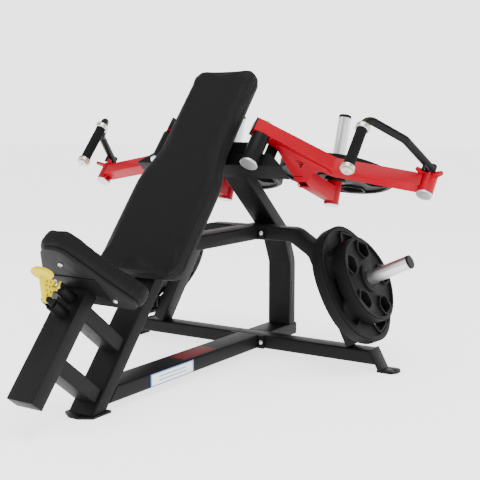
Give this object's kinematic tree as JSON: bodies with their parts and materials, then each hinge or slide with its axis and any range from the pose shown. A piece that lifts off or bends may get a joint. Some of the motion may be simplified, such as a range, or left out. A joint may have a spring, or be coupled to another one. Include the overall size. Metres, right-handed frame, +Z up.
{
  "type": "incline chest press bench",
  "caption": "Plate-loaded incline press bench with a sloped back pad, sliding seat with pull lever, swinging red press arms, swivel handles and plate storage pegs.",
  "frame": {"origin": "centre of the footprint box on the floor", "axes": "+Z up, the user faces -Y, +X is the user's left"},
  "size_m": [1.5374, 1.66, 1.0802],
  "materials": {
    "frame": "satin black powder coat",
    "arm": "gloss red powder coat",
    "handle": "satin black powder coat",
    "chrome": "bright chrome",
    "steel": "ground steel",
    "rubber": "black rubber buffer",
    "grip": "black foam rubber grip",
    "plate": "black rubber-coated cast iron",
    "plastic": "black plastic",
    "shell": "black moulded back",
    "upholstery": "black synthetic leather",
    "lever": "yellow plastic",
    "label": "blank white plate"
  },
  "bodies": {
    "frame": {"base_beam": "frame", "frame_stubs": "frame", "cross_tube": "frame", "bolt_flanges": "frame", "flange_bolts": "chrome", "gull_tube": "frame", "mid_beam": "frame", "mast": "frame", "main_post": "frame", "front_post": "frame", "post_braces": "frame", "floor_feet": "frame", "label_plate": "label", "top_crossbar": "frame", "stop_bar": "frame", "stop_bumpers": "rubber", "pivot_housings": "frame", "pivot_bearings": "steel", "pivot_caps": "chrome", "back_pad": "upholstery", "back_board": "shell", "storage_pegs": "chrome", "peg_trim": "plastic", "adjuster_bosses": "frame"},
    "seat": {"seat_stem": "frame", "seat_board": "shell", "seat_pad": "upholstery", "seat_bolts": "chrome"},
    "lever": {"seat_lever": "lever"},
    "plunger": {"plunger": "chrome"},
    "arm_l": {"arm_tube_l": "arm", "arm_gusset_l": "arm", "arm_branch_l": "arm", "handle_housing_l": "arm", "horn_l": "chrome", "arm_trim_l": "plastic", "arm_caps_l": "chrome", "pivot_shaft_l": "steel"},
    "handle_l": {"handle_tube_l": "handle", "handle_grip_l": "grip", "grip_collars_l": "chrome"},
    "loaded_plate_l": {"horn_plate_l": "plate"},
    "stored_large_l": {"storage_plate_large_l": "plate"},
    "stored_small_l": {"storage_plate_small_l": "plate"},
    "arm_r": {"arm_tube_r": "arm", "arm_gusset_r": "arm", "arm_branch_r": "arm", "handle_housing_r": "arm", "horn_r": "chrome", "arm_trim_r": "plastic", "arm_caps_r": "chrome", "pivot_shaft_r": "steel"},
    "handle_r": {"handle_tube_r": "handle", "handle_grip_r": "grip", "grip_collars_r": "chrome"},
    "loaded_plate_r": {"horn_plate_r": "plate"},
    "stored_large_r": {"storage_plate_large_r": "plate"},
    "stored_small_r": {"storage_plate_small_r": "plate"}
  },
  "joints": [
    {"name": "seat_height", "type": "slide", "parent": "frame", "child": "seat", "axis": [0, 0.6361, 0.7716], "range_m": [0, 0.1]},
    {"name": "lever_pull", "type": "hinge", "parent": "frame", "child": "lever", "pos_m": [0, -0.71325, 0.38039], "axis": [1, 0, 0], "range_deg": [-9.5, 0]},
    {"name": "plunger_pull", "type": "slide", "parent": "frame", "child": "plunger", "axis": [0, 0.7716, -0.6361], "range_m": [0, 0.009]},
    {"name": "arm_press_l", "type": "hinge", "parent": "frame", "child": "arm_l", "pos_m": [0.193, 0.10717, 0.79789], "axis": [0, -0.6361, -0.7716], "range_deg": [0, 55]},
    {"name": "handle_swivel_l", "type": "hinge", "parent": "arm_l", "child": "handle_l", "pos_m": [0.713, 0.37681, 0.67929], "axis": [0, 0.6361, 0.7716], "range_deg": [0, 52]},
    {"name": "loaded_plate_slide_l", "type": "slide", "parent": "arm_l", "child": "loaded_plate_l", "axis": [0, 0.319, 0.9478], "range_m": [0, 0.28]},
    {"name": "stored_large_slide_l", "type": "slide", "parent": "frame", "child": "stored_large_l", "axis": [0.9063, 0, 0.4226], "range_m": [0, 0.27]},
    {"name": "stored_small_slide_l", "type": "slide", "parent": "stored_large_l", "child": "stored_small_l", "axis": [0.9063, 0, 0.4226], "range_m": [0, 0.22]},
    {"name": "arm_press_r", "type": "hinge", "parent": "frame", "child": "arm_r", "pos_m": [-0.193, 0.10717, 0.79789], "axis": [0, 0.6361, 0.7716], "range_deg": [0, 55]},
    {"name": "handle_swivel_r", "type": "hinge", "parent": "arm_r", "child": "handle_r", "pos_m": [-0.713, 0.37681, 0.67929], "axis": [0, -0.6361, -0.7716], "range_deg": [0, 52]},
    {"name": "loaded_plate_slide_r", "type": "slide", "parent": "arm_r", "child": "loaded_plate_r", "axis": [0, 0.319, 0.9478], "range_m": [0, 0.28]},
    {"name": "stored_large_slide_r", "type": "slide", "parent": "frame", "child": "stored_large_r", "axis": [-0.9063, 0, 0.4226], "range_m": [0, 0.27]},
    {"name": "stored_small_slide_r", "type": "slide", "parent": "stored_large_r", "child": "stored_small_r", "axis": [-0.9063, 0, 0.4226], "range_m": [0, 0.22]}
  ],
  "couplings": [
    {"joint": "plunger_pull", "follows": "lever_pull", "m_per_rad": -0.054}
  ]
}
